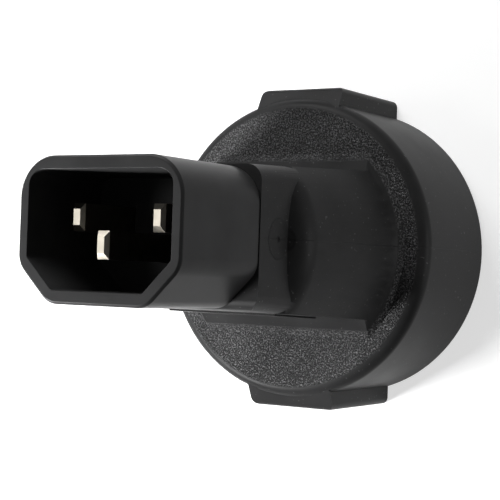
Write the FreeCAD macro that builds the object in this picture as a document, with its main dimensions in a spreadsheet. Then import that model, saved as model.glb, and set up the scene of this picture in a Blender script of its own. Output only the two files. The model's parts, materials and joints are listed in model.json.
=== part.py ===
"""Plug adapter: an IEC 60320 C14 plug on one end and a round earthed socket (CEE 7/3 type) on the other.

Frame: millimetres, +Z up. The origin is the centre of the socket's open rim, which the part stands on. +Z is
the long axis and runs from the rim to the mouth of the plug. The two ears over the earth clips point along
+Y and -Y, the socket's pin holes lie along X, and the plug's earth pin and chamfered corners are towards -Y.
"""
import FreeCAD, Part
import os
import re

import Sketcher

doc = FreeCAD.newDocument("plug_adapter")

# ---------------------------------------------------------------- driving dimensions
SIZES = {
    # the mains plug that the socket takes, and the recess for it
    "mate_pin_radius": 2.4,
    "mate_pin_length": 19.0,
    "socket_pin_spacing": 19.0,
    "recess_radius": 19.5,
    "recess_depth": 17.5,
    "recess_bevel": 0.8,
    # socket insert and socket floor
    "insert_wall": 2.5,
    "guide_rib_width": 5.0,
    "guide_rib_height": 2.5,
    "lug_height": 0.6,
    "lug_width": 12.0,
    "lug_start": 9.0,
    "lug_thickness": 2.0,
    "floor_thickness": 2.0,
    "hole_play": 0.35,
    "hole_bevel": 0.5,
    "collar_wall": 0.75,
    "collar_rise": 1.4,
    # drum and ears of the moulded body
    "drum_wall": 3.25,
    "drum_roof": 2.75,
    "drum_edge": 2.0,
    "rim_edge": 0.5,
    "ear_width": 15.84,
    "ear_rise": 1.9,
    "ear_setback": 2.65,
    "ear_root_drop": 0.5,
    "ear_corner": 1.2,
    # foot, bell and block of the neck
    "foot_inset": 4.0,
    "foot_half_height": 15.2,
    "foot_rise": 2.8,
    "foot_sink": 0.3,
    "bell_inset": 1.1,
    "bell_top_radius": 16.96,
    "bell_rise": 25.9,
    "bell_shoulder": 4.7,
    "neck_foot_half_height": 12.15,
    "neck_front_half_height": 10.75,
    "block_width": 28.6,
    "block_rise": 33.6,
    "block_corner": 2.6,
    "block_lip": 1.8,
    "pad_width": 19.6,
    "pad_length": 13.0,
    "pad_top_rise": 21.0,
    "pad_thickness": 0.3,
    # plug
    "plug_offset": 0.5,
    "plug_floor": 2.86,
    "cavity_depth": 16.9,
    "cavity_width": 24.87,
    "cavity_height": 17.1,
    "cavity_corner": 2.4,
    "cavity_chamfer": 4.6,
    "cavity_chamfer_round": 0.7,
    "shroud_side_wall": 1.7,
    "shroud_face_wall": 1.95,
    "shroud_corner": 5.9,
    "shroud_chamfer": 5.6,
    "shroud_chamfer_round": 3.7,
    "shroud_edge": 0.35,
    "tenon_width": 21.2,
    "tenon_height": 14.8,
    "tenon_length": 4.6,
    "tenon_corner": 1.5,
    "groove_depth": 0.8,
    "groove_start": 1.6,
    "groove_width": 1.4,
    "lead_room_margin": 0.7,
    "lead_room_height": 10.4,
    # plug pins
    "pin_spacing": 14.0,
    "pin_row_offset": 2.0,
    "pin_thickness": 2.0,
    "pin_height": 4.0,
    "pin_recess": 4.24,
    "earth_pin_recess": 0.89,
    "tip_length": 0.7,
    "tip_thinning": 0.42,
    "tip_narrowing": 0.85,
    "pin_collar_height": 5.6,
    "pin_collar_length": 1.2,
    "pin_barrel_reach": 2.0,
    "retainer_thickness": 1.6,
    "retainer_inset": 0.6,
    # socket contacts
    "sleeve_play": 0.1,
    "sleeve_wall": 0.5,
    "sleeve_length": 12.0,
    "sleeve_slit": 0.8,
    "slit_land": 2.5,
    "spring_thickness": 0.4,
    "spring_start": 2.5,
    "spring_length": 5.0,
    "tail_thickness": 0.6,
    "tail_width": 2.4,
    "tail_lap": 2.5,
    "barrel_radius": 1.5,
    "barrel_length": 3.0,
    "flag_margin": 0.3,
    # housing over the socket contacts
    "housing_wall": 1.25,
    "housing_height": 11.4,
    "housing_corner": 4.0,
    "housing_roof": 1.2,
    # earth strap
    "strap_width": 6.4,
    "strap_thickness": 0.8,
    "strap_arm_offset": 1.4,
    "strap_bulge": 2.9,
    "strap_contact_depth": 6.0,
    "strap_tip_length": 3.2,
    "strap_tip_spread": 1.6,
    "strap_bend_rise": 5.5,
    "strap_slope_extra": 0.16,
    "strap_flex_room": 1.6,
    "clip_room": 1.0,
    # leads
    "conductor_radius": 0.7,
    "insulation_radius": 1.35,
    # clearance between pieces that fit together, and around pieces that are free
    "fit_gap": 0.05,
    "free_gap": 0.3,
}

sheet = doc.addObject("Spreadsheet::Sheet", "Sizes")
for row, (alias, number) in enumerate(SIZES.items(), start=1):
    sheet.set("A%d" % row, alias.replace("_", " "))
    sheet.set("B%d" % row, repr(number))
    sheet.setAlias("B%d" % row, alias)
doc.recompute()

# radii, widths and heights that several pieces share; each may use the ones above it
SHARED = {
    # radii about the main axis
    "INSERT_RADIUS": "recess_radius + insert_wall",
    "DRUM_RADIUS": "INSERT_RADIUS + fit_gap + drum_wall",
    "EAR_REACH": "DRUM_RADIUS + ear_rise",
    "FOOT_RADIUS": "DRUM_RADIUS - foot_inset",
    "BELL_RADIUS": "FOOT_RADIUS - bell_inset",
    # radii about a socket pin
    "PIN_HOLE_RADIUS": "mate_pin_radius + hole_play",
    "COLLAR_RADIUS": "PIN_HOLE_RADIUS + collar_wall",
    "SLEEVE_BORE": "mate_pin_radius + sleeve_play",
    "SLEEVE_RADIUS": "SLEEVE_BORE + sleeve_wall",
    "SPRING_RADIUS": "SLEEVE_RADIUS + fit_gap + spring_thickness",
    "CHAMBER_RADIUS": "SPRING_RADIUS + free_gap",
    # widths
    "SHROUD_WIDTH": "cavity_width + 2 * shroud_side_wall",
    "SHROUD_HEIGHT": "cavity_height + 2 * shroud_face_wall",
    "LEAD_ROOM_WIDTH": "pin_spacing + 2 * (barrel_radius + lead_room_margin)",
    "HOUSING_WIDTH": "socket_pin_spacing + 2 * (CHAMBER_RADIUS + housing_wall)",
    "CLIP_SLOT_WIDTH": "strap_width + 2 * free_gap",
    # heights above the rim, from the rim upwards
    "CLIP_SLOT_FOOT": "strap_contact_depth - strap_tip_length - clip_room",
    "FLOOR_BACK": "recess_depth + floor_thickness",
    "STRAP_TOP": "FLOOR_BACK + fit_gap + strap_thickness",
    "SLEEVE_FOOT": "FLOOR_BACK + collar_rise + fit_gap",
    "DRUM_TOP": "STRAP_TOP + fit_gap + drum_roof",
    "CHAMBER_TOP": "recess_depth + mate_pin_length + free_gap",
    "HOUSING_TOP": "CHAMBER_TOP + housing_roof",
    "FLAG_FOOT": "HOUSING_TOP + free_gap",
    "CONTACT_BARREL_FOOT": "FLAG_FOOT + tail_thickness",
    "BLOCK_FRONT": "DRUM_TOP + block_rise",
    "TENON_END": "BLOCK_FRONT - tenon_length",
    "RETAINER_END": "TENON_END - retainer_thickness",
    "PIN_BARREL_FOOT": "RETAINER_END - pin_barrel_reach",
    "GROOVE_FOOT": "TENON_END + groove_start",
    "GROOVE_TOP": "GROOVE_FOOT + groove_width",
    "CAVITY_FLOOR": "BLOCK_FRONT + plug_floor",
    "MOUTH": "CAVITY_FLOOR + cavity_depth",
    # rows of the plug's pins
    "PIN_ROW": "plug_offset + pin_row_offset",
    "EARTH_ROW": "plug_offset - pin_row_offset",
}


def formula(text):
    """Turn a size written with alias and shared names into an expression over the sheet."""
    for name, meaning in reversed(list(SHARED.items())):
        text = re.sub(r"\b%s\b" % name, "(%s)" % meaning, text)
    return re.sub(r"\b(%s)\b" % "|".join(SIZES), r"Sizes.\1", text)


def value(text):
    """The present value of a formula, in millimetres."""
    return float(sheet.evalExpression(formula(text)))


# ---------------------------------------------------------------- helpers for bodies and sketches
def new_body(label):
    body = doc.addObject("PartDesign::Body", label)
    body.Label = label
    return body


def new_sketch(body, name, plane, level="0"):
    """A sketch on one of the body's own origin planes, moved along the plane's normal to the given level."""
    sketch = body.newObject("Sketcher::SketchObject", name)
    support = [item for item in body.Origin.OriginFeatures if item.Role == plane + "_Plane"][0]
    sketch.AttachmentSupport = [(support, "")]
    sketch.MapMode = "FlatFace"
    sketch.setExpression("AttachmentOffset.Base.z", formula(level))
    return sketch


def pin_down(sketch, kind, items, size):
    """Add one driving constraint whose value follows the sheet."""
    index = sketch.addConstraint(Sketcher.Constraint(kind, *items, value(size)))
    sketch.setExpression("Constraints[%d]" % index, formula(size))


def add_circle(sketch, radius, x="0", y="0"):
    centre = FreeCAD.Vector(value(x), value(y), 0)
    circle = sketch.addGeometry(Part.Circle(centre, FreeCAD.Vector(0, 0, 1), value(radius)), False)
    pin_down(sketch, "Radius", (circle,), radius)
    pin_down(sketch, "DistanceX", (-1, 1, circle, 3), x)
    pin_down(sketch, "DistanceY", (-1, 1, circle, 3), y)


def arc_through(start, end, radius, turn):
    """The short arc from start to end; turn is 1 for anticlockwise and -1 for clockwise."""
    chord = end - start
    middle = (start + end) * 0.5
    rise = (radius ** 2 - (chord.Length / 2) ** 2) ** 0.5
    towards_centre = FreeCAD.Vector(-chord.y, chord.x, 0).normalize() * turn
    return Part.Arc(start, middle - towards_centre * (radius - rise), end)


def add_outline(sketch, steps):
    """Draw a closed outline. Each step is (x, y) or (x, y, radius, turn), an arc that ends at x, y."""
    corners = [FreeCAD.Vector(value(step[0]), value(step[1]), 0) for step in steps]
    pieces = []
    tips = []
    for index, step in enumerate(steps):
        start, end = corners[index - 1], corners[index]
        is_arc = len(step) == 4
        curve = arc_through(start, end, value(step[2]), step[3]) if is_arc else Part.LineSegment(start, end)
        pieces.append(sketch.addGeometry(curve, False))
        tips.append((1, 2) if is_arc and step[3] < 0 else (2, 1))
    for index, step in enumerate(steps):
        following = (index + 1) % len(steps)
        end_point, start_point = tips[index][0], tips[following][1]
        sketch.addConstraint(Sketcher.Constraint(
            "Coincident", pieces[index], end_point, pieces[following], start_point))
        pin_down(sketch, "DistanceX", (-1, 1, pieces[index], end_point), step[0])
        pin_down(sketch, "DistanceY", (-1, 1, pieces[index], end_point), step[1])
        if len(step) == 4:
            pin_down(sketch, "Radius", (pieces[index],), step[2])


def add_rectangle(sketch, width, height, x="0", y="0"):
    west, east = "(%s) - (%s) / 2" % (x, width), "(%s) + (%s) / 2" % (x, width)
    south, north = "(%s) - (%s) / 2" % (y, height), "(%s) + (%s) / 2" % (y, height)
    add_outline(sketch, [(west, south), (east, south), (east, north), (west, north)])


def rounded_rectangle(width, height, corner, y="0"):
    """Steps of a rectangle with round corners, centred on x = 0 and on y."""
    east, west = "(%s) / 2" % width, "-(%s) / 2" % width
    north, south = "(%s) + (%s) / 2" % (y, height), "(%s) - (%s) / 2" % (y, height)
    return [
        ("%s - (%s)" % (east, corner), south),
        (east, "%s + (%s)" % (south, corner), corner, 1),
        (east, "%s - (%s)" % (north, corner)),
        ("%s - (%s)" % (east, corner), north, corner, 1),
        ("%s + (%s)" % (west, corner), north),
        (west, "%s - (%s)" % (north, corner), corner, 1),
        (west, "%s + (%s)" % (south, corner)),
        ("%s + (%s)" % (west, corner), south, corner, 1),
    ]


def plug_outline(width, height, corner, chamfer):
    """Steps of the C14 outline: round corners towards +Y and 45 degree chamfers towards -Y."""
    east, west = "(%s) / 2" % width, "-(%s) / 2" % width
    north, south = "plug_offset + (%s) / 2" % height, "plug_offset - (%s) / 2" % height
    return [
        ("%s - (%s)" % (east, chamfer), south),
        (east, "%s + (%s)" % (south, chamfer)),
        (east, "%s - (%s)" % (north, corner)),
        ("%s - (%s)" % (east, corner), north, corner, 1),
        ("%s + (%s)" % (west, corner), north),
        (west, "%s - (%s)" % (north, corner), corner, 1),
        (west, "%s + (%s)" % (south, chamfer)),
        ("%s + (%s)" % (west, chamfer), south),
    ]


def pad(body, sketch, length, both_ways=False):
    feature = body.newObject("PartDesign::Pad", sketch.Name + "_pad")
    feature.Profile = sketch
    feature.setExpression("Length", formula(length))
    feature.Midplane = both_ways
    sketch.Visibility = False
    doc.recompute()
    return feature


def pocket(body, sketch, length, both_ways=False):
    """Cut along the sketch plane's normal, and make sure that something was cut."""
    before = body.Shape.Volume
    feature = body.newObject("PartDesign::Pocket", sketch.Name + "_pocket")
    feature.Profile = sketch
    feature.setExpression("Length", formula(length))
    feature.Midplane = both_ways
    feature.Reversed = not both_ways
    sketch.Visibility = False
    doc.recompute()
    if not body.Shape.Volume < before:
        raise RuntimeError("%s cuts nothing" % feature.Name)
    return feature


def loft(body, sketches):
    feature = body.newObject("PartDesign::AdditiveLoft", sketches[0].Name + "_loft")
    feature.Profile = sketches[0]
    feature.Sections = sketches[1:]
    feature.Ruled = True
    doc.recompute()
    return feature


def revolve(body, sketch):
    feature = body.newObject("PartDesign::Revolution", sketch.Name + "_revolution")
    feature.Profile = sketch
    feature.ReferenceAxis = (sketch, ["V_Axis"])
    feature.Angle = 360
    doc.recompute()
    return feature


def join(body, other):
    feature = body.newObject("PartDesign::Boolean", other.Label + "_joined")
    feature.Type = "Fuse"
    feature.setObjects([other])
    doc.recompute()
    return feature


def dress(body, kind, edges, size, name):
    """Round or bevel the edges of the body's tip that the test picks out."""
    base = body.Tip
    names = ["Edge%d" % (i + 1) for i, edge in enumerate(base.Shape.Edges) if edges(edge)]
    if not names:
        raise RuntimeError("%s finds no edge" % name)
    feature = body.newObject("PartDesign::" + kind, name)
    feature.Base = (base, names)
    feature.setExpression("Radius" if kind == "Fillet" else "Size", formula(size))
    doc.recompute()
    return feature


SLACK = 1e-3


def near(number, text):
    return abs(number - value(text)) < SLACK


def at_level(edge, level):
    """True for an edge that lies in the plane z = level."""
    box = edge.BoundBox
    return near(box.ZMin, level) and near(box.ZMax, level)


def round_of(edge, radius):
    return isinstance(edge.Curve, Part.Circle) and near(edge.Curve.Radius, radius)


def place(body, x, y):
    body.setExpression("Placement.Base.x", formula(x))
    body.setExpression("Placement.Base.y", formula(y))
    return body


# ---------------------------------------------------------------- the moulded body
DRUM_EDGE_STEPS = 4
SHOULDER_STEPS = 6
BELL_LEAN = "atan((BELL_RADIUS - bell_top_radius) / bell_rise)"


def round_over(radius, level, size, steps, lean="0 deg"):
    """Steps around a corner at the given radius and level, as narrow cones once they are turned.

    The side below the corner leans in by the given angle, and the face above it is level.
    """
    centre = "(%s) - (%s) / tan(45 deg + %s / 2)" % (radius, size, lean)
    turns = ["(%s + (90 deg - %s) * %g)" % (lean, lean, index / steps) for index in range(steps + 1)]
    return [
        ("%s + (%s) * cos(%s)" % (centre, size, turn), "(%s) - (%s) * (1 - sin(%s))" % (level, size, turn))
        for turn in turns
    ]


def neck_half_height(level):
    """Half height of the neck's two sloping flats at a level above the rim."""
    slope = "(neck_foot_half_height - neck_front_half_height) / block_rise"
    return "(neck_foot_half_height - %s * (%s - DRUM_TOP))" % (slope, level)


def foot_outline(radius, half_height):
    """A circle about the main axis, cut by two flats that are centred on the plug."""
    north, south = "plug_offset + (%s)" % half_height, "plug_offset - (%s)" % half_height
    north_x = "sqrt((%s)^2 - (%s)^2)" % (radius, north)
    south_x = "sqrt((%s)^2 - (%s)^2)" % (radius, south)
    return [
        (south_x, south),
        (north_x, north, radius, 1),
        ("-" + north_x, north),
        ("-" + south_x, south, radius, 1),
    ]


def lug_outline(side, radius, width):
    """Steps of a lug across the insert's wall; side is 1 towards +X and -1 towards -X."""
    outer = "%d * sqrt((%s)^2 - (%s)^2 / 4)" % (side, radius, width)
    inner = "%d * (INSERT_RADIUS - insert_wall / 2)" % side
    low, high = "-%d * (%s) / 2" % (side, width), "%d * (%s) / 2" % (side, width)
    return [(inner, low), (outer, low), (outer, high, radius, 1), (inner, high)]


# the tenon of the plug insert in steps from its end to the block's front: name, low, high, inset
TENON_STEPS = [
    ("tenon_end", "TENON_END", "GROOVE_FOOT", "0"),
    ("tenon_waist", "GROOVE_FOOT", "GROOVE_TOP", "groove_depth"),
    ("tenon_neck", "GROOVE_TOP", "BLOCK_FRONT", "0"),
]


def make_neck_block():
    """The block that carries the plug: sloping flats, round long edges and a round lower front edge."""
    body = new_body("neck_block")
    side = new_sketch(body, "block_side", "YZ")
    foot, front = neck_half_height("DRUM_TOP"), neck_half_height("BLOCK_FRONT")
    add_outline(side, [
        ("plug_offset + " + foot, "DRUM_TOP"),
        ("plug_offset + " + front, "BLOCK_FRONT"),
        ("plug_offset - " + front, "BLOCK_FRONT"),
        ("plug_offset - " + foot, "DRUM_TOP"),
    ])
    pad(body, side, "block_width", both_ways=True)

    def long_edge(edge):
        return edge.BoundBox.ZLength > value("block_rise / 2")

    dress(body, "Fillet", long_edge, "block_corner", "block_corners")
    lip = new_sketch(body, "lower_lip", "YZ")
    underside = "plug_offset - " + neck_half_height("BLOCK_FRONT - block_lip")
    add_outline(lip, [
        (underside, "BLOCK_FRONT - block_lip"),
        ("plug_offset - %s + block_lip" % front, "BLOCK_FRONT", "block_lip", -1),
        ("plug_offset - %s + block_lip" % front, "BLOCK_FRONT + block_lip"),
        (underside + " - block_lip", "BLOCK_FRONT + block_lip"),
        (underside + " - block_lip", "BLOCK_FRONT - block_lip"),
    ])
    pocket(body, lip, "2 * block_width", both_ways=True)
    return body


def make_body_moulding():
    body = new_body("body_moulding")

    # drum with a rounded front edge, and an ear over each earth clip
    profile = new_sketch(body, "drum_profile", "XZ")
    add_outline(profile, [
        ("0", "0"),
        ("DRUM_RADIUS - rim_edge", "0"),
        ("DRUM_RADIUS", "rim_edge"),
        *round_over("DRUM_RADIUS", "DRUM_TOP", "drum_edge", DRUM_EDGE_STEPS),
        ("0", "DRUM_TOP"),
    ])
    revolve(body, profile)
    for side, sign in (("upper", ""), ("lower", "-")):
        ear = new_sketch(body, side + "_ear", "YZ")
        root = sign + "(INSERT_RADIUS + drum_edge / 2)"
        add_outline(ear, [
            (root, "0"),
            (sign + "EAR_REACH", "0"),
            (sign + "EAR_REACH", "DRUM_TOP - ear_setback"),
            (root, "DRUM_TOP - ear_root_drop"),
        ])
        pad(body, ear, "ear_width", both_ways=True)

    def ear_edge(edge):
        box = edge.BoundBox
        far = near(abs(box.YMin), "EAR_REACH") and near(abs(box.YMax), "EAR_REACH")
        upright = near(abs(box.XMin), "ear_width / 2") and box.XLength < SLACK
        return far and (upright or near(box.ZMin, "DRUM_TOP - ear_setback"))

    dress(body, "Fillet", ear_edge, "ear_corner", "ear_corners")

    # bell of the neck: a cone with a round shoulder, cut by two sloping flats
    profile = new_sketch(body, "bell_profile", "XZ")
    add_outline(profile, [
        ("0", "DRUM_TOP - drum_edge"),
        ("BELL_RADIUS", "DRUM_TOP - drum_edge"),
        ("BELL_RADIUS", "DRUM_TOP"),
        *round_over("bell_top_radius", "DRUM_TOP + bell_rise", "bell_shoulder", SHOULDER_STEPS, BELL_LEAN),
        ("0", "DRUM_TOP + bell_rise"),
    ])
    revolve(body, profile)
    for side, sign in (("upper", "+"), ("lower", "-")):
        flat = new_sketch(body, side + "_flat", "YZ")
        beyond = "0 %s 2 * BELL_RADIUS" % sign
        add_outline(flat, [
            ("plug_offset %s %s" % (sign, neck_half_height("DRUM_TOP")), "DRUM_TOP"),
            (beyond, "DRUM_TOP"),
            (beyond, "BLOCK_FRONT"),
            ("plug_offset %s %s" % (sign, neck_half_height("BLOCK_FRONT")), "BLOCK_FRONT"),
        ])
        pocket(body, flat, "3 * BELL_RADIUS", both_ways=True)

    # block that carries the plug, and the foot where the neck meets the drum
    join(body, make_neck_block())
    foot_low = new_sketch(body, "foot_low", "XY", "DRUM_TOP")
    add_outline(foot_low, foot_outline("FOOT_RADIUS", "foot_half_height"))
    foot_high = new_sketch(body, "foot_high", "XY", "DRUM_TOP + foot_rise")
    inner_radius = "BELL_RADIUS - (BELL_RADIUS - bell_top_radius) * foot_rise / bell_rise - foot_sink"
    add_outline(foot_high, foot_outline(inner_radius, "neck_foot_half_height - foot_sink"))
    loft(body, [foot_low, foot_high])

    # raised bare pad on the underside of the neck
    plate = new_sketch(body, "underside_pad", "YZ")
    high, low = "DRUM_TOP + pad_top_rise", "DRUM_TOP + pad_top_rise - pad_length"
    add_outline(plate, [
        ("plug_offset - %s - pad_thickness" % neck_half_height(low), low),
        ("plug_offset - %s + pad_thickness" % neck_half_height(low), low),
        ("plug_offset - %s + pad_thickness" % neck_half_height(high), high),
        ("plug_offset - %s - pad_thickness" % neck_half_height(high), high),
    ])
    pad(body, plate, "pad_width", both_ways=True)

    # rooms for the socket insert and its lugs, the earth strap, the contact housing, the leads and the tenon
    seat = new_sketch(body, "insert_seat", "XY")
    add_circle(seat, "INSERT_RADIUS + fit_gap")
    pocket(body, seat, "FLOOR_BACK + fit_gap")
    notches = new_sketch(body, "lug_notches", "XY", "lug_start - fit_gap")
    notch_radius, notch_width = "INSERT_RADIUS + lug_height + fit_gap", "lug_width + 2 * fit_gap"
    for side in (1, -1):
        add_outline(notches, lug_outline(side, notch_radius, notch_width))
    pocket(body, notches, "lug_thickness + 2 * fit_gap")
    room = new_sketch(body, "strap_room", "XY", "CLIP_SLOT_FOOT")
    add_rectangle(room, "CLIP_SLOT_WIDTH", "2 * (INSERT_RADIUS + strap_flex_room)")
    pocket(body, room, "STRAP_TOP + fit_gap - CLIP_SLOT_FOOT")
    room = new_sketch(body, "housing_room", "XY", "FLOOR_BACK")
    width, height = "HOUSING_WIDTH + 2 * fit_gap", "housing_height + 2 * fit_gap"
    add_outline(room, rounded_rectangle(width, height, "housing_corner"))
    pocket(body, room, "HOUSING_TOP + fit_gap - FLOOR_BACK")
    room = new_sketch(body, "lead_room", "XY", "HOUSING_TOP")
    add_outline(room, rounded_rectangle("LEAD_ROOM_WIDTH", "lead_room_height", "tenon_corner", "plug_offset"))
    pocket(body, room, "RETAINER_END - HOUSING_TOP")
    for name, low, high, inset in [("retainer", "RETAINER_END", "TENON_END", "0")] + TENON_STEPS:
        room = new_sketch(body, name + "_room", "XY", low)
        width = "tenon_width + 2 * fit_gap - 2 * (%s)" % inset
        height = "tenon_height + 2 * fit_gap - 2 * (%s)" % inset
        add_outline(room, rounded_rectangle(width, height, "tenon_corner", "plug_offset"))
        pocket(body, room, "%s - %s" % (high, low))
    return body


# ---------------------------------------------------------------- the plug end
PIN_PLACES = {
    "line": ("-pin_spacing / 2", "PIN_ROW"),
    "neutral": ("pin_spacing / 2", "PIN_ROW"),
    "earth": ("0", "EARTH_ROW"),
}


def make_plug_insert():
    body = new_body("plug_insert")
    shroud = new_sketch(body, "shroud", "XY", "BLOCK_FRONT")
    add_outline(shroud, plug_outline("SHROUD_WIDTH", "SHROUD_HEIGHT", "shroud_corner", "shroud_chamfer"))
    pad(body, shroud, "MOUTH - BLOCK_FRONT")

    def chamfer_corner(edge, width, height, chamfer):
        """True for an upright edge at an end of one of the two 45 degree faces of an outline."""
        box = edge.BoundBox
        south = "plug_offset - %s / 2" % height
        at_side = near(abs(box.XMin), width + " / 2") and near(box.YMin, south + " + " + chamfer)
        at_foot = near(abs(box.XMin), "%s / 2 - %s" % (width, chamfer)) and near(box.YMin, south)
        return (at_side or at_foot) and box.ZLength > value("plug_floor")

    def outer_corner(edge):
        return chamfer_corner(edge, "SHROUD_WIDTH", "SHROUD_HEIGHT", "shroud_chamfer")

    def inner_corner(edge):
        return chamfer_corner(edge, "cavity_width", "cavity_height", "cavity_chamfer")

    dress(body, "Fillet", outer_corner, "shroud_chamfer_round", "shroud_chamfer_rounds")
    dress(body, "Chamfer", lambda edge: at_level(edge, "MOUTH"), "shroud_edge", "mouth_edge")
    for name, low, high, inset in TENON_STEPS:
        step = new_sketch(body, name, "XY", low)
        width, height = "tenon_width - 2 * (%s)" % inset, "tenon_height - 2 * (%s)" % inset
        add_outline(step, rounded_rectangle(width, height, "tenon_corner", "plug_offset"))
        pad(body, step, "%s - %s" % (high, low))
    cavity = new_sketch(body, "cavity", "XY", "CAVITY_FLOOR")
    add_outline(cavity, plug_outline("cavity_width", "cavity_height", "cavity_corner", "cavity_chamfer"))
    pocket(body, cavity, "cavity_depth + free_gap")
    dress(body, "Fillet", inner_corner, "cavity_chamfer_round", "cavity_chamfer_rounds")
    for name, (x, y) in PIN_PLACES.items():
        slot = new_sketch(body, name + "_slot", "XY", "TENON_END")
        add_rectangle(slot, "pin_thickness + 2 * fit_gap", "pin_height + 2 * fit_gap", x, y)
        pocket(body, slot, "CAVITY_FLOOR + free_gap - TENON_END")
        slot = new_sketch(body, name + "_collar_room", "XY", "TENON_END")
        add_rectangle(slot, "pin_thickness + 2 * fit_gap", "pin_collar_height + 2 * fit_gap", x, y)
        pocket(body, slot, "pin_collar_length + fit_gap")
    return body


def taper_tip(body, name, plane, half_width, inset, tip):
    """Slope two opposite sides of a blade in towards its tip."""
    wedges = new_sketch(body, name, plane)
    for sign in ("", "-"):
        add_outline(wedges, [
            ("%s(%s)" % (sign, half_width), tip + " - tip_length"),
            ("%s(%s + %s)" % (sign, half_width, inset), tip + " + tip_length"),
            ("%s(%s - %s)" % (sign, half_width, inset), tip),
        ])
    pocket(body, wedges, "2 * pin_height", both_ways=True)


def make_pin(name, recess):
    """A flat blade with a tapered tip, a collar in the tenon and a crimp barrel for its lead."""
    body = new_body("pin_" + name)
    tip = "MOUTH - " + recess
    blade = new_sketch(body, name + "_blade", "XY", "TENON_END")
    add_rectangle(blade, "pin_thickness", "pin_height")
    pad(body, blade, "%s - TENON_END" % tip)
    taper_tip(body, name + "_tip_sides", "XZ", "pin_thickness / 2", "tip_thinning", tip)
    taper_tip(body, name + "_tip_ends", "YZ", "pin_height / 2", "tip_narrowing", tip)
    collar = new_sketch(body, name + "_collar", "XY", "TENON_END")
    add_rectangle(collar, "pin_thickness", "pin_collar_height")
    pad(body, collar, "pin_collar_length")
    barrel = new_sketch(body, name + "_barrel", "XY", "PIN_BARREL_FOOT")
    add_circle(barrel, "barrel_radius")
    pad(body, barrel, "TENON_END - PIN_BARREL_FOOT")
    bore = new_sketch(body, name + "_bore", "XY", "PIN_BARREL_FOOT")
    add_circle(bore, "conductor_radius + fit_gap")
    pocket(body, bore, "barrel_length")
    return place(body, *PIN_PLACES[name])


def make_pin_retainer():
    body = new_body("pin_retainer")
    plate = new_sketch(body, "retainer_plate", "XY", "RETAINER_END")
    width, height = "tenon_width - 2 * retainer_inset", "tenon_height - 2 * retainer_inset"
    add_outline(plate, rounded_rectangle(width, height, "tenon_corner", "plug_offset"))
    pad(body, plate, "retainer_thickness - fit_gap")
    holes = new_sketch(body, "retainer_holes", "XY", "RETAINER_END")
    for x, y in PIN_PLACES.values():
        add_circle(holes, "barrel_radius + fit_gap", x, y)
    pocket(body, holes, "retainer_thickness")
    return body


# ---------------------------------------------------------------- the socket end
SOCKET_SIDES = {"line": -1, "neutral": 1}


def socket_x(name):
    return "%d * socket_pin_spacing / 2" % SOCKET_SIDES[name]


def add_clip_slots(sketch, reach):
    """A slot at each ear for the arms of the earth strap, from the given radius outwards."""
    outer = "(INSERT_RADIUS + insert_wall)"
    for side in (1, -1):
        add_rectangle(sketch, "CLIP_SLOT_WIDTH", "%s - %s" % (outer, reach),
                      "0", "%d * (%s + %s) / 2" % (side, outer, reach))


def make_socket_insert():
    """The wall of the recess: a sleeve with two guide ribs inside and two lock lugs outside."""
    body = new_body("socket_insert")
    wall = new_sketch(body, "insert_wall_ring", "XY")
    add_circle(wall, "INSERT_RADIUS")
    pad(body, wall, "recess_depth - fit_gap")
    lugs = new_sketch(body, "lock_lugs", "XY", "lug_start")
    for side in (1, -1):
        add_outline(lugs, lug_outline(side, "INSERT_RADIUS + lug_height", "lug_width"))
    pad(body, lugs, "lug_thickness")
    recess = new_sketch(body, "recess", "XY")
    add_circle(recess, "recess_radius")
    pocket(body, recess, "recess_depth")
    dress(body, "Chamfer", lambda edge: at_level(edge, "0") and round_of(edge, "recess_radius"),
          "recess_bevel", "recess_edge")
    guides = new_sketch(body, "guide_ribs", "XY", "recess_bevel")
    for side in (1, -1):
        add_rectangle(guides, "guide_rib_height + insert_wall / 2", "guide_rib_width",
                      "%d * (recess_radius + (insert_wall / 2 - guide_rib_height) / 2)" % side)
    pad(body, guides, "recess_depth - fit_gap - recess_bevel")
    slots = new_sketch(body, "clip_slots", "XY", "CLIP_SLOT_FOOT")
    add_clip_slots(slots, "(recess_radius - strap_bulge)")
    pocket(body, slots, "recess_depth")
    return body


def make_socket_floor():
    """The disc behind the recess, with a hole and a collar for each pin."""
    body = new_body("socket_floor")
    disc = new_sketch(body, "floor_disc", "XY", "recess_depth")
    add_circle(disc, "INSERT_RADIUS")
    pad(body, disc, "floor_thickness")
    collars = new_sketch(body, "contact_collars", "XY", "recess_depth + floor_thickness / 2")
    for name in SOCKET_SIDES:
        add_circle(collars, "COLLAR_RADIUS", socket_x(name))
    pad(body, collars, "floor_thickness / 2 + collar_rise")
    holes = new_sketch(body, "pin_holes", "XY", "recess_depth")
    for name in SOCKET_SIDES:
        add_circle(holes, "PIN_HOLE_RADIUS", socket_x(name))
    pocket(body, holes, "floor_thickness + collar_rise + fit_gap")
    dress(body, "Chamfer", lambda edge: at_level(edge, "recess_depth") and round_of(edge, "PIN_HOLE_RADIUS"),
          "hole_bevel", "hole_edges")
    slots = new_sketch(body, "floor_slots", "XY", "recess_depth")
    add_clip_slots(slots, "recess_radius")
    pocket(body, slots, "floor_thickness + fit_gap")
    return body


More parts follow.
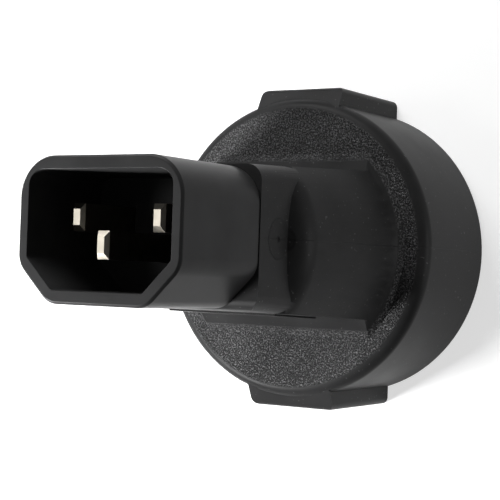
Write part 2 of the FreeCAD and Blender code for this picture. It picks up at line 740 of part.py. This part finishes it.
def make_contact(name):
    """A slit sleeve for one round pin, with a tail whose end is folded over the housing's roof as a flag.

    The flag carries a crimp barrel in line with the plug's pin.
    """
    inward = -SOCKET_SIDES[name]
    body = new_body("contact_" + name)
    sleeve = new_sketch(body, name + "_sleeve", "XY", "SLEEVE_FOOT")
    add_circle(sleeve, "SLEEVE_RADIUS")
    add_circle(sleeve, "SLEEVE_BORE")
    pad(body, sleeve, "sleeve_length")
    slit = new_sketch(body, name + "_slit", "XY", "SLEEVE_FOOT")
    add_rectangle(slit, "SLEEVE_RADIUS", "sleeve_slit", "%d * SLEEVE_RADIUS" % -inward)
    pocket(body, slit, "sleeve_length - slit_land")
    tail_foot = "(SLEEVE_FOOT + sleeve_length - tail_lap)"
    tail = new_sketch(body, name + "_tail", "XY", tail_foot)
    add_rectangle(tail, "tail_thickness", "tail_width", "%d * (SLEEVE_BORE + tail_thickness / 2)" % inward)
    pad(body, tail, "FLAG_FOOT + fit_gap - %s" % tail_foot)
    barrel_x = "%d * (socket_pin_spacing - pin_spacing) / 2" % inward
    flag = new_sketch(body, name + "_flag", "XY", "FLAG_FOOT")
    flag_start = "(tail_width / 2 + flag_margin)"
    flag_end = "(PIN_ROW + barrel_radius + flag_margin)"
    add_rectangle(flag, "2 * (barrel_radius + flag_margin)", "%s + %s" % (flag_end, flag_start),
                  barrel_x, "(%s - %s) / 2" % (flag_end, flag_start))
    pad(body, flag, "tail_thickness")
    barrel = new_sketch(body, name + "_crimp", "XY", "CONTACT_BARREL_FOOT")
    add_circle(barrel, "barrel_radius", barrel_x, "PIN_ROW")
    add_circle(barrel, "conductor_radius + fit_gap", barrel_x, "PIN_ROW")
    pad(body, barrel, "barrel_length")
    return place(body, socket_x(name), "0")


def make_contact_spring(name):
    """A steel band that presses the sleeve shut, open on the tail's side."""
    body = new_body("spring_" + name)
    band = new_sketch(body, name + "_band", "XY", "SLEEVE_FOOT + spring_start")
    add_circle(band, "SPRING_RADIUS")
    add_circle(band, "SLEEVE_RADIUS + fit_gap")
    pad(body, band, "spring_length")
    gap = new_sketch(body, name + "_band_gap", "XY", "SLEEVE_FOOT + spring_start")
    add_rectangle(gap, "SPRING_RADIUS", "tail_width", "%d * SPRING_RADIUS" % -SOCKET_SIDES[name])
    pocket(body, gap, "spring_length")
    return place(body, socket_x(name), "0")


def make_contact_housing():
    """A cap on the back of the socket floor with a chamber for each contact and a bay for the strap."""
    body = new_body("contact_housing")
    block = new_sketch(body, "housing_block", "XY", "FLOOR_BACK + fit_gap")
    add_outline(block, rounded_rectangle("HOUSING_WIDTH", "housing_height", "housing_corner"))
    pad(body, block, "HOUSING_TOP - FLOOR_BACK - fit_gap")
    chambers = new_sketch(body, "chambers", "XY", "FLOOR_BACK")
    for name in SOCKET_SIDES:
        add_circle(chambers, "CHAMBER_RADIUS", socket_x(name))
    pocket(body, chambers, "CHAMBER_TOP - FLOOR_BACK")
    slots = new_sketch(body, "tail_slots", "XY", "CHAMBER_TOP - free_gap")
    for side in SOCKET_SIDES.values():
        centre = "%d * (socket_pin_spacing / 2 - SLEEVE_BORE - tail_thickness / 2)" % side
        add_rectangle(slots, "tail_thickness + 4 * fit_gap", "tail_width + 4 * fit_gap", centre)
    pocket(body, slots, "housing_roof + 2 * free_gap")
    bay = new_sketch(body, "strap_bay", "XY", "FLOOR_BACK")
    add_rectangle(bay, "strap_width + 4 * fit_gap", "housing_height + 2 * free_gap")
    pocket(body, bay, "STRAP_TOP + fit_gap - FLOOR_BACK")
    bay = new_sketch(body, "barrel_bay", "XY", "FLOOR_BACK")
    add_circle(bay, "barrel_radius + free_gap", "0", "EARTH_ROW")
    pocket(body, bay, "STRAP_TOP + barrel_length + free_gap - FLOOR_BACK")
    duct = new_sketch(body, "earth_duct", "XY", "FLOOR_BACK")
    add_circle(duct, "insulation_radius + fit_gap", "0", "EARTH_ROW")
    pocket(body, duct, "HOUSING_TOP + free_gap - FLOOR_BACK")
    return body


def make_earth_strap():
    """One folded strip: a base behind the socket floor and a spring arm into each ear."""
    body = new_body("earth_strap")
    base = "FLOOR_BACK + fit_gap"
    bend = "strap_contact_depth + strap_bend_rise"
    arm_reach = "(recess_radius + strap_arm_offset)"
    arm_inside = "(%s - strap_thickness)" % arm_reach
    contact = "(recess_radius - strap_bulge)"
    contact_outside = "(%s + strap_thickness + strap_slope_extra)" % contact
    tip_depth = "strap_contact_depth - strap_tip_length"
    for side, sign in (("upper", ""), ("lower", "-")):
        arm = new_sketch(body, side + "_arm", "YZ")
        add_outline(arm, [
            (sign + "0", base),
            (sign + arm_inside, base),
            (sign + arm_inside, bend),
            (sign + contact, "strap_contact_depth"),
            ("%s(%s + strap_tip_spread)" % (sign, contact), tip_depth),
            ("%s(%s + strap_tip_spread)" % (sign, contact_outside), tip_depth),
            (sign + contact_outside, "strap_contact_depth"),
            (sign + arm_reach, bend),
            (sign + arm_reach, "STRAP_TOP"),
            (sign + "0", "STRAP_TOP"),
        ])
        pad(body, arm, "strap_width", both_ways=True)
    barrel = new_sketch(body, "earth_crimp", "XY", "STRAP_TOP - fit_gap")
    add_circle(barrel, "barrel_radius", "0", "EARTH_ROW")
    add_circle(barrel, "conductor_radius + fit_gap", "0", "EARTH_ROW")
    pad(body, barrel, "barrel_length + fit_gap")
    return body


# ---------------------------------------------------------------- the three leads
def make_lead(name, barrel_foot):
    """The copper conductor and the insulation of a lead that stands on the barrel at the given height."""
    conductor = new_body("conductor_" + name)
    core = new_sketch(conductor, name + "_core", "XY", barrel_foot + " + free_gap")
    add_circle(core, "conductor_radius")
    pad(conductor, core, "PIN_BARREL_FOOT + barrel_length - %s - 2 * free_gap" % barrel_foot)
    insulation = new_body("insulation_" + name)
    sheath = new_sketch(insulation, name + "_sheath", "XY", barrel_foot + " + barrel_length + free_gap")
    add_circle(sheath, "insulation_radius")
    add_circle(sheath, "conductor_radius + fit_gap")
    pad(insulation, sheath, "PIN_BARREL_FOOT - %s - barrel_length - 2 * free_gap" % barrel_foot)
    return [place(body, *PIN_PLACES[name]) for body in (conductor, insulation)]


# ---------------------------------------------------------------- build, check and write
pieces = [
    make_body_moulding(),
    make_plug_insert(),
    make_pin("line", "pin_recess"),
    make_pin("neutral", "pin_recess"),
    make_pin("earth", "earth_pin_recess"),
    make_pin_retainer(),
    make_socket_insert(),
    make_socket_floor(),
    make_contact_housing(),
    make_contact("line"),
    make_contact("neutral"),
    make_contact_spring("line"),
    make_contact_spring("neutral"),
    make_earth_strap(),
    *make_lead("line", "CONTACT_BARREL_FOOT"),
    *make_lead("neutral", "CONTACT_BARREL_FOOT"),
    *make_lead("earth", "STRAP_TOP"),
]

doc.recompute()
for item in doc.Objects:
    if "Invalid" in item.State or "Error" in item.State:
        raise RuntimeError("%s is %s" % (item.Name, item.State))
os.makedirs("parts", exist_ok=True)
for piece in pieces:
    shape = piece.Shape
    if shape.isNull() or not shape.isValid() or len(shape.Solids) != 1:
        raise RuntimeError("%s is not one valid solid" % piece.Label)
    shape.exportStep("parts/%s.step" % piece.Label)
    print("%-20s %9.1f mm3" % (piece.Label, shape.Volume))
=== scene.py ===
# %% [markdown]
# This is a black moulded plug adapter: a flat-pin appliance plug on one end and a round earthed socket on
# the other. It could be modelled again here, but then two models would drift apart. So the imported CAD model
# is loaded as a fixed frame, and this script dresses it: every piece gets a finish, and the large plastic
# pieces get soft edges.

import json
import math

import bmesh
import bpy
from mathutils import Matrix, Vector


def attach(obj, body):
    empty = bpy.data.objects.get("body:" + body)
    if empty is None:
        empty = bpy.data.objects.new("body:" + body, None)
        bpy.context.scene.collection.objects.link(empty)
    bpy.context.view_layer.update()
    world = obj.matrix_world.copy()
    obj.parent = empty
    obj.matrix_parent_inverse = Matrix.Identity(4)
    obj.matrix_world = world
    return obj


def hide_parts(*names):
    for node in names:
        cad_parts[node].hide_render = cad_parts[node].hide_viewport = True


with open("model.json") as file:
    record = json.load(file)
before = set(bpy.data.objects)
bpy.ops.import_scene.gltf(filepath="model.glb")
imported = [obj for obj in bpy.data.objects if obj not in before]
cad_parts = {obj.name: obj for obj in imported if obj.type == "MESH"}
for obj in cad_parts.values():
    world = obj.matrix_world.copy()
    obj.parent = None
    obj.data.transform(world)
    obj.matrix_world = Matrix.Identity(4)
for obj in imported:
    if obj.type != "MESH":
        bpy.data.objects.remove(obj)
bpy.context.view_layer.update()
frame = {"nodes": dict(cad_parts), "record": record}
nodes = frame["nodes"]
MM = 0.001

# %% [markdown]
# The adapter is seen from one side of its mouth, with its axis lying nearly level and +Y up. A camera could
# be turned by hand, or made to track a target. Here three angles about the plug's axis are chosen, because
# they say what the view is: how far it stands off the axis, how far it is tipped, and how far it is rolled.

# %% Directions of the camera
OFF_AXIS = math.radians(31.521)
TIP = math.radians(-0.991)
ROLL = math.radians(1.997)


def camera_axes():
    """The camera's right, up and backward directions in the part's frame."""
    forward = Vector((
        -math.sin(OFF_AXIS) * math.cos(TIP),
        -math.sin(TIP),
        -math.cos(OFF_AXIS) * math.cos(TIP),
    ))
    level = Vector((math.cos(OFF_AXIS), 0, -math.sin(OFF_AXIS)))
    upright = level.cross(forward)
    right = level * math.cos(ROLL) + upright * math.sin(ROLL)
    up = upright * math.cos(ROLL) - level * math.sin(ROLL)
    return right, up, -forward


print("camera looks along:", [round(-part, 3) for part in camera_axes()[2]])

# %% [markdown]
# The three directions are the columns of the camera's matrix, so they are set in one go. Rotations about x,
# y and z would do too, but their order is easy to get wrong. The long lens keeps the near end and the far
# end nearly in proportion.

# %% Camera
LENS = 105.28
SENSOR = 36.0
NEAREST_SEEN = 10 * MM
CAMERA_PLACE = Vector((123.448, -4.992, 237.328)) * MM

camera = bpy.data.objects.new("camera", bpy.data.cameras.new("camera"))
camera.data.lens = LENS
camera.data.sensor_width = SENSOR
camera.data.clip_start = NEAREST_SEEN
turn = Matrix(camera_axes()).transposed()
camera.matrix_world = Matrix.Translation(CAMERA_PLACE) @ turn.to_4x4()
bpy.context.scene.collection.objects.link(camera)
bpy.context.scene.camera = camera
print("camera to the middle of the socket's rim, mm:", round(CAMERA_PLACE.length / MM))

# %% [markdown]
# Every surface of the adapter starts the same way, from one principled shader, which can be plastic, metal
# or rubber. Patterns are worked out by nodes from Object coordinates, so they are tied to the piece. A
# picture wrapped round the piece could do it too, but it would show seams and stretch at the round edges.

# %% A finish and its nodes


class Finish:
    """One procedural material, with its shader and the coordinates that its patterns are read from."""

    def __init__(self, name, colour, roughness, metallic=0.0):
        self.material = bpy.data.materials.new(name)
        self.material.use_nodes = True
        self.tree = self.material.node_tree
        self.tree.nodes.clear()
        self.shader = self.add("ShaderNodeBsdfPrincipled")
        self.shader.inputs["Base Color"].default_value = (*colour, 1)
        self.shader.inputs["Roughness"].default_value = roughness
        self.shader.inputs["Metallic"].default_value = metallic
        self.link((self.shader, "BSDF"), self.add("ShaderNodeOutputMaterial"), "Surface")
        self.place = (self.add("ShaderNodeTexCoord"), "Object")

    def add(self, kind, **settings):
        """Add a node and set what is named."""
        node = self.tree.nodes.new(kind)
        for key, setting in settings.items():
            setattr(node, key, setting)
        return node

    def link(self, source, target, key):
        """Feed a node's input, called by its name or its number, from a (node, output) pair."""
        node, output = source
        self.tree.links.new(node.outputs[output], target.inputs[key])


print("made the kit: Finish")

# %% [markdown]
# No moulded or plated surface is even, so every finish varies a little. Waves, cells or noise could do that,
# and noise is chosen, because it has no direction and doesn't repeat. Its size is given in metres, so a
# grain can be measured on the real thing and written down.

# %% Noise


def noise(finish, size, detail, rough=0.5, warp=0.0):
    """Noise whose features are about size metres wide."""
    node = finish.add("ShaderNodeTexNoise")
    for key, number in (("Scale", 1 / size), ("Detail", detail), ("Roughness", rough), ("Distortion", warp)):
        node.inputs[key].default_value = number
    finish.link(finish.place, node, "Vector")
    return (node, "Fac")


print("features of 1 mm take a noise scale of", round(1 / MM))

# %% [markdown]
# Noise becomes a look in three ways: it tints the surface, it changes a number such as the roughness, or it
# raises the surface. The nodes could be wired up anew for every finish. A short helper for each way is
# chosen, so that a finish reads as a list of what is on it.

# %% Tint, fade and bump


def tint(finish, source, low, high, dark, pale):
    """Go from a dark colour to a pale one as the source rises from low to high."""
    node = finish.add("ShaderNodeValToRGB")
    for stop, position, colour in zip(node.color_ramp.elements, (low, high), (dark, pale)):
        stop.position = position
        stop.color = (*colour, 1)
    finish.link(source, node, "Fac")
    return (node, "Color")


def fade(finish, source, low, high, first, last):
    """Go smoothly from the first number to the last as the source rises from low to high."""
    node = finish.add("ShaderNodeMapRange", interpolation_type="SMOOTHSTEP")
    for key, number in (("From Min", low), ("From Max", high), ("To Min", first), ("To Max", last)):
        node.inputs[key].default_value = number
    finish.link(source, node, "Value")
    return (node, "Result")


def bump(finish, height, depth, under=None):
    """Raise the surface by depth metres where height is 1, on top of another bump if one is given."""
    node = finish.add("ShaderNodeBump")
    node.inputs["Strength"].default_value = 1.0
    node.inputs["Distance"].default_value = depth
    finish.link(height, node, "Height")
    if under:
        finish.link(under, node, "Normal")
    return (node, "Normal")


print("made the helpers: tint, fade, bump")

# %% [markdown]
# Black plastic reflects little, so its look comes from how it shines. The real skin is satin, with a faint
# grain that breaks up the highlights, and clouds of gloss and tone where the plastic flowed. One even black
# would be quicker, but it looks drawn. So one slow noise drives the tone and the gloss together, and a fine
# one gives the grain. The plug's black is paler than the body's: that is painted fill light, which brightens
# its deep, shaded mouth.

# %% Satin black


def shade_of(colour, factor):
    """A colour made darker or paler."""
    return tuple(channel * factor for channel in colour)


BLACK = (0.019, 0.019, 0.0193)
# The plug's paler black is painted fill light for its shaded mouth.
PLUG_BLACK_PAINTED_FILL = shade_of(BLACK, 1.6)
SHINE = 0.06
CLOUD_SIZE = 9 * MM
CLOUD_LOW, CLOUD_HIGH = 0.3, 0.7
CLOUD_DARK, CLOUD_PALE = 0.8, 1.25
GLOSS_SWING = 0.03
SKIN_SIZE = 0.35 * MM
SKIN_DEPTH = 0.004 * MM


def moulded_black(name, colour, roughness):
    """Satin black plastic; its tone and skin are kept for a finish that builds on it."""
    finish = Finish(name, colour, roughness)
    finish.shader.inputs["Specular IOR Level"].default_value = SHINE
    cloud = noise(finish, CLOUD_SIZE, detail=3)
    dark, pale = shade_of(colour, CLOUD_DARK), shade_of(colour, CLOUD_PALE)
    finish.tone = tint(finish, cloud, CLOUD_LOW, CLOUD_HIGH, dark, pale)
    finish.link(finish.tone, finish.shader, "Base Color")
    gloss = fade(finish, cloud, CLOUD_LOW, CLOUD_HIGH, roughness - GLOSS_SWING, roughness + GLOSS_SWING)
    finish.link(gloss, finish.shader, "Roughness")
    finish.skin = bump(finish, noise(finish, SKIN_SIZE, detail=3), SKIN_DEPTH)
    finish.link(finish.skin, finish.shader, "Normal")
    return finish


print("black of the body and of the plug:", round(BLACK[0], 4), round(PLUG_BLACK_PAINTED_FILL[0], 4))

# %% [markdown]
# Some marks of the mould sit at one place on the real adapter. Their place could be painted on as a mask,
# but the painting would be lost with the mesh. So it is worked out from the x, y and z of each point, where
# a distance from an axis is exact.

# %% Places and sums


def measures(finish):
    """The x, y and z of the point that is being shaded."""
    node = finish.add("ShaderNodeSeparateXYZ")
    finish.link(finish.place, node, "Vector")
    return [(node, axis) for axis in "XYZ"]


def work_out(finish, operation, *operands):
    """One sum; each operand is a number or a (node, output) pair."""
    node = finish.add("ShaderNodeMath", operation=operation)
    for index, operand in enumerate(operands):
        if isinstance(operand, tuple):
            finish.link(operand, node, index)
        else:
            node.inputs[index].default_value = operand
    return (node, "Value")


def reach(finish, first, second):
    """The distance from an axis, from the two measures square to it."""
    squares = [work_out(finish, "MULTIPLY", side, side) for side in (first, second)]
    return work_out(finish, "SQRT", work_out(finish, "ADD", *squares))


print("made the helpers: measures, work_out, reach")

# %% [markdown]
# The plastic is shot into the mould at one point, which leaves a round flat mark with a small pit on the side
# of the neck. The mould's two halves leave a hairline through it. They could be cut into the mesh, but the
# mark and the line are shallower than a tenth of a millimetre, and the pit is only a millimetre wide. So they
# are drawn into the finish, as a dip in its height and a darker tone. In the pit, the darker tone is painted
# shade.

# %% Gate mark and parting line
GATE_LEVEL = 51.3 * MM
GATE_SIDE = 0.5 * MM
GATE_RADIUS = 3.2 * MM
GATE_FADE = 0.35 * MM
GATE_DEPTH = 0.4 * MM
PIT_RADIUS = 0.55 * MM
HAIRLINE = 0.09 * MM
NECK_SIDE = 8 * MM
# How much each mark darkens the skin; the pit's darkening is painted shade.
GATE_LOSS, PIT_PAINTED_SHADE, HAIRLINE_LOSS = 0.2, 0.7, 0.1


def gate_mark(finish, x, y, z):
    """1 where the skin is whole, and less in the gate's mark, its pit and the parting line; in the colour,
    the pit's darkening is painted shade.
    """
    facing = fade(finish, x, NECK_SIDE, NECK_SIDE + MM, 0, 1)
    across = work_out(finish, "SUBTRACT", y, GATE_SIDE)
    away = reach(finish, across, work_out(finish, "SUBTRACT", z, GATE_LEVEL))
    disc = fade(finish, away, GATE_RADIUS - GATE_FADE, GATE_RADIUS, GATE_LOSS, 0)
    # The pit's darkening is painted shade in a recess.
    pit = fade(finish, away, 0, PIT_RADIUS, PIT_PAINTED_SHADE, 0)
    hairline = fade(finish, work_out(finish, "ABSOLUTE", across), 0, HAIRLINE, HAIRLINE_LOSS, 0)
    marks = work_out(finish, "ADD", work_out(finish, "ADD", disc, pit), hairline)
    return work_out(finish, "SUBTRACT", 1.0, work_out(finish, "MULTIPLY", marks, facing))


print("gate mark above the rim, mm:", round(GATE_LEVEL / MM, 2), "its radius:", round(GATE_RADIUS / MM, 2))

# %% [markdown]
# Pale specks are painted glints: points of the skin that would catch the light. They could be scattered as
# tiny pieces, but a speck has no thickness to speak of. So only the highest peaks of a fine noise are kept,
# which leaves sparse dots.

# %% Painted glints
GLINT_SIZE = 0.45 * MM
GLINT_LOW, GLINT_HIGH = 0.775, 0.83
GLINT_GAIN = 1.8


def painted_glints(finish):
    """Sparse pale specks of painted glint: 0 between them."""
    return fade(finish, noise(finish, GLINT_SIZE, detail=0), GLINT_LOW, GLINT_HIGH, 0, GLINT_GAIN)


print("noise that the specks are cut from, mm:", round(GLINT_SIZE / MM, 2))

# %% [markdown]
# The front face of the drum has a coarse leathery grain, which is eroded into the mould, and the rest of the
# body is smooth. Two materials could share the body, but one with a mask is chosen, because the grain then
# fades at its border. The mask is 1 in a thin slice at the face and inside its rounded edge. The neck stands
# on the face, so no CAD box ends there, and its level is written down.

# %% Where the grain lies
DRUM_TOP = 23.15 * MM
GRAIN_REACH = 23.8 * MM
GRAIN_FADE = 0.6 * MM


def grain_mask(finish, x, y, z):
    """1 on the drum's front face and 0 elsewhere."""
    above = fade(finish, z, DRUM_TOP - 3 * GRAIN_FADE, DRUM_TOP - GRAIN_FADE, 0, 1)
    below = fade(finish, z, DRUM_TOP + GRAIN_FADE, DRUM_TOP + 2 * GRAIN_FADE, 1, 0)
    inside = fade(finish, reach(finish, x, y), GRAIN_REACH - GRAIN_FADE, GRAIN_REACH, 1, 0)
    return work_out(finish, "MULTIPLY", work_out(finish, "MULTIPLY", above, below), inside)


print("grain lies at, mm:", round(DRUM_TOP / MM, 2), "out to a radius of:", round(GRAIN_REACH / MM, 2))

# %% [markdown]
# The grain is a field of fine pimples whose tops are pale from wear. A mesh with every pimple would need over
# a million faces. So one fine warped noise is used twice: as a bump it breaks the light into sparks and dark
# cells, and as a tone it makes the ridges paler, as wear and as a painted sheen. The bump alone would look
# too even from far off.

# %% Grained body
BODY_ROUGHNESS = 0.42
GRAIN_SIZE = 0.26 * MM
GRAIN_DEPTH = 0.22 * MM
CREASE_LOW, CREASE_HIGH = 0.36, 0.66
RIDGE_LOW, RIDGE_HIGH = 0.44, 0.66
# Range and strength of the ridges' pale tone: wear and painted sheen.
WEAR_SHEEN_LEAST, WEAR_SHEEN_MOST = 0.1, 2.6
WEAR_SHEEN_TONE = 3.0


def grained_body():
    """The black of the body: a coarse grain on the drum's front face, and smooth satin elsewhere."""
    finish = moulded_black("body_black", BLACK, BODY_ROUGHNESS)
    x, y, z = measures(finish)
    mask = grain_mask(finish, x, y, z)
    whole = gate_mark(finish, x, y, z)
    coarse = noise(finish, GRAIN_SIZE, detail=4, rough=0.6, warp=0.4)

    height = work_out(finish, "MULTIPLY", fade(finish, coarse, CREASE_LOW, CREASE_HIGH, 0, 1), mask)
    grain = bump(finish, height, GRAIN_DEPTH, under=finish.skin)
    finish.link(bump(finish, whole, GATE_DEPTH, under=grain), finish.shader, "Normal")

    # The ridges' pale tone is wear and painted sheen on the grain's tops.
    ridge = fade(finish, coarse, RIDGE_LOW, RIDGE_HIGH, WEAR_SHEEN_LEAST, WEAR_SHEEN_MOST)
    worn_and_sheen = work_out(finish, "MULTIPLY", ridge, mask)
    # Pale specks of painted glint over the whole body.
    with_glints = work_out(finish, "ADD", painted_glints(finish), 1.0)
    gain = work_out(finish, "MULTIPLY", work_out(finish, "MULTIPLY_ADD", worn_and_sheen, WEAR_SHEEN_TONE, with_glints), whole)
    paler = finish.add("ShaderNodeVectorMath", operation="SCALE")
    finish.link(finish.tone, paler, "Vector")
    finish.link(gain, paler, "Scale")
    finish.link((paler, "Vector"), finish.shader, "Base Color")
    return finish


print("grain size and depth, mm:", round(GRAIN_SIZE / MM, 2), round(GRAIN_DEPTH / MM, 2))

# %% [markdown]
# The pins and contacts are plated or bare metal, and the inner plastics and the sheaths of the leads are
# dyed. All of them have faint clouds in their colour, from tarnish or uneven dye, and very fine marks. Each
# could have nodes of its own, but they are the same few nodes with other numbers, so one helper makes them.

# %% Metals and dyed plastics


def uneven(finish, colour, cloud_size, cloud_low, darkest, mark_size, mark_depth):
    """Give a finish clouds that darken its colour, and fine marks in its surface."""
    cloud = noise(finish, cloud_size, detail=3)
    tone = tint(finish, cloud, cloud_low, CLOUD_HIGH, shade_of(colour, darkest), colour)
    finish.link(tone, finish.shader, "Base Color")
    finish.link(bump(finish, noise(finish, mark_size, detail=2), mark_depth), finish.shader, "Normal")
    return finish


def plated(name, colour, roughness):
    """Bare or plated metal with a little tarnish and fine scratches."""
    return uneven(Finish(name, colour, roughness, metallic=1.0), colour, cloud_size=1.5 * MM, cloud_low=0.25,
                  darkest=0.8, mark_size=0.2 * MM, mark_depth=0.003 * MM)


def dyed(name, colour, roughness):
    """Dyed plastic or rubber with a faint skin."""
    return uneven(Finish(name, colour, roughness), colour, cloud_size=3 * MM, cloud_low=0.3,
                  darkest=0.85, mark_size=0.3 * MM, mark_depth=0.004 * MM)


print("made the helpers: uneven, plated, dyed")

# %% [markdown]
# On the real adapter, one batch of brass or plastic serves several pieces. So the record names a material
# slot for every node, each slot gets its finish here, and each node takes the finish of its slot. A finish
# made for each node would work too, but then the two contacts could end up as different brass.

# %% Hand out the finishes
FINISHES = {
    "body_plastic": grained_body(),
    # The plug's black is paler: painted fill light for its shaded mouth.
    "insert_plastic": moulded_black("insert_black_painted_fill", PLUG_BLACK_PAINTED_FILL, 0.4),
    "socket_plastic": moulded_black("socket_black", BLACK, 0.5),
    "housing_plastic": dyed("housing_natural", (0.6, 0.56, 0.47), 0.5),
    "pin_metal": plated("pin_nickel", (0.34, 0.315, 0.268), 0.3),
    "brass": plated("contact_brass", (0.7, 0.5, 0.22), 0.3),
    "spring_steel": plated("spring_grey", (0.45, 0.45, 0.46), 0.35),
    "strap_metal": plated("strap_nickel", (0.62, 0.6, 0.55), 0.3),
    "copper": plated("copper_bare", (0.75, 0.35, 0.2), 0.32),
    "brown_sheath": dyed("sheath_brown", (0.13, 0.055, 0.025), 0.5),
    "blue_sheath": dyed("sheath_blue", (0.03, 0.1, 0.4), 0.5),
    "green_sheath": dyed("sheath_green", (0.12, 0.33, 0.04), 0.5),
}
slots = {entry["node"]: entry["material_slot"] for entry in frame["record"]["subparts"]}
for node, slot in slots.items():
    nodes[node].data.materials.clear()
    nodes[node].data.materials.append(FINISHES[slot].material)
print("finishes:", len(FINISHES), "on nodes:", len(slots))

# %% [markdown]
# A moulded piece has no knife edge: every outer corner is a small round. The CAD mesh is loose triangles
# with hard edges. A bevel modifier would round a clean mesh, but loose triangles share no edge that it could
# find. So a copy is merged, its flat faces are joined again, and its sharp edges are bevelled with two
# segments.

# %% Rounded edges
SAME_POINT = 0.0005 * MM
FLAT = math.radians(0.6)
SHARP = math.radians(36)


def rounded_copy(node, edge_round):
    """A copy of a CAD node's mesh, merged and with its sharp edges rounded."""
    mesh = nodes[node].data.copy()
    form = bmesh.new()
    form.from_mesh(mesh)
    bmesh.ops.remove_doubles(form, verts=form.verts, dist=SAME_POINT)
    bmesh.ops.dissolve_limit(form, angle_limit=FLAT, verts=form.verts, edges=form.edges)
    edges = [edge for edge in form.edges if edge.is_manifold and edge.calc_face_angle() > SHARP]
    bmesh.ops.bevel(form, geom=edges, offset=edge_round, offset_type="OFFSET", segments=2, profile=0.5,
                    affect="EDGES", clamp_overlap=True, material=-1)
    for face in form.faces:
        face.smooth = True
    form.to_mesh(mesh)
    form.free()
    mesh.set_sharp_from_angle(angle=SHARP)
    print(node, "sharp edges:", len(edges), "faces:", len(mesh.polygons))
    return mesh


print("edges sharper than this become rounds, degrees:", round(math.degrees(SHARP)))

# %% [markdown]
# The body, the plug and the socket's two pieces are the large plastic ones, and each copy stands for its CAD
# node. Plain smooth shading would bend the light across their flat walls. So the normals are weighted by the
# size of the faces: a wall stays flat right up to its edge, and all the shading happens on the round.

# %% Soft-edged pieces
EDGE_ROUNDS = {
    "body_moulding": 0.15 * MM,
    "plug_insert": 0.15 * MM,
    "socket_insert": 0.15 * MM,
    "socket_floor": 0.1 * MM,
}
for node, edge_round in EDGE_ROUNDS.items():
    piece = bpy.data.objects.new(node + "_dressed", rounded_copy(node, edge_round))
    bpy.context.scene.collection.objects.link(piece)
    piece.modifiers.new("even_normals", "WEIGHTED_NORMAL").keep_sharp = True
    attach(piece, "root")
    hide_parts(node)
print("soft-edged pieces:", len(EDGE_ROUNDS))

# %% [markdown]
# Black plastic shows its surroundings more than its own colour, and what faces the camera looks out into a
# dim room. A picture of a sky could be the room, but its highlights would smear into patches on the satin
# skin. So the room is one even grey.

# %% Room
WHITE = (1, 1, 1, 1)
ROOM = 0.13

world = bpy.data.worlds.new("studio")
bpy.context.scene.world = world
world.use_nodes = True
room = world.node_tree.nodes["Background"]
room.inputs["Color"].default_value = WHITE
room.inputs["Strength"].default_value = ROOM
print("brightness of the room:", ROOM)

# %% [markdown]
# The adapter stands on a plain pale floor that has to look white. Stronger lights would whiten the floor, but
# the adapter with it. So the floor glows a little, and only to the camera and in reflections: it looks white,
# keeps the shadow, and gives the adapter nothing but its reflection. It lies a hair under the rim, because
# two faces at one level flicker through each other.

# %% Floor
FLOOR_GLOW = 0.62
FLOOR_WIDTH = 30000 * MM
FLOOR_GAP = 0.02 * MM

bpy.ops.mesh.primitive_plane_add(size=FLOOR_WIDTH, location=(0, 0, -FLOOR_GAP))
floor = bpy.context.object
floor.name = "floor"
pale = Finish("floor_pale", colour=(0.5, 0.5, 0.5), roughness=0.8)
rays = pale.add("ShaderNodeLightPath")
seen = work_out(pale, "MAXIMUM", (rays, "Is Camera Ray"), (rays, "Is Glossy Ray"))
pale.shader.inputs["Emission Color"].default_value = WHITE
pale.link(work_out(pale, "MULTIPLY", seen, FLOOR_GLOW), pale.shader, "Emission Strength")
floor.data.materials.append(pale.material)
print("glow of the floor:", FLOOR_GLOW)

# %% [markdown]
# In a studio, soft boxes show the shape of a black thing. Point lights could stand in for them, but they
# leave hard dots on satin, so square area lights are used. The main one is low and to the left: the lower
# side of the drum's face is then brighter than the upper one, and the neck shades the right. The others are
# weaker: one above, one on the right for the drum's side, and one off the mouth for the tips of the pins.

# %% Lights


def soft_light(name, place, aim, size, power):
    """A square area light at a place, pointed at another; lengths are in millimetres, power in watts."""
    lamp = bpy.data.lights.new(name, "AREA")
    lamp.size = size * MM
    lamp.energy = power
    thing = bpy.data.objects.new(name, lamp)
    thing.location = Vector(place) * MM
    thing.rotation_euler = (Vector(aim) - Vector(place)).to_track_quat("-Z", "Y").to_euler()
    bpy.context.scene.collection.objects.link(thing)


soft_light("low_light", place=(-88, -66, 106), aim=(0, -15, 25), size=36, power=0.47)
soft_light("high_light", place=(-40, 120, 110), aim=(0, 10, 60), size=80, power=0.2)
soft_light("right_light", place=(260, 0, 10), aim=(0, 0, 20), size=100, power=0.3)
soft_light("mouth_light", place=(-190, 20, 340), aim=(0, 0, 60), size=70, power=0.12)
bpy.context.scene.view_settings.view_transform = "Standard"
